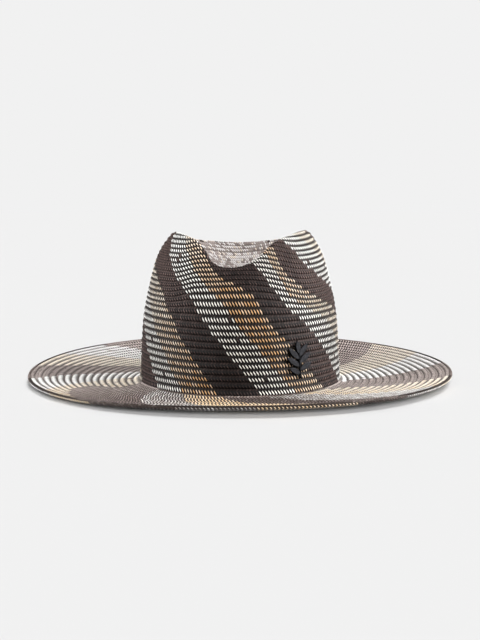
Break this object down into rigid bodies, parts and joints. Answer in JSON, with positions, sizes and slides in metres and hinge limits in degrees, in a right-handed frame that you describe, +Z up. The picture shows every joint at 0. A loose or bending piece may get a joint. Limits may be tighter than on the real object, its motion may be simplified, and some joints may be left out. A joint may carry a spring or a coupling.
{
  "type": "fedora hat",
  "caption": "Wide-brimmed straw fedora with a teardrop crown, front pinches, turned-under brim edge and a small leaf-sprig pin on the front of the crown",
  "frame": {"origin": "centre of the bounding box in plan, at the level of the surface the hat rests on", "axes": "+Z up through the crown, -Y towards the front of the hat, +X towards the left hand of the wearer"},
  "size_m": [0.3458, 0.3853, 0.1251],
  "materials": {
    "straw": "woven straw in white, tan and dark strands",
    "dark_metal": "dark gloss"
  },
  "bodies": {
    "root": {"woven_body": "straw", "pin_badge": "dark_metal"}
  },
  "joints": []
}
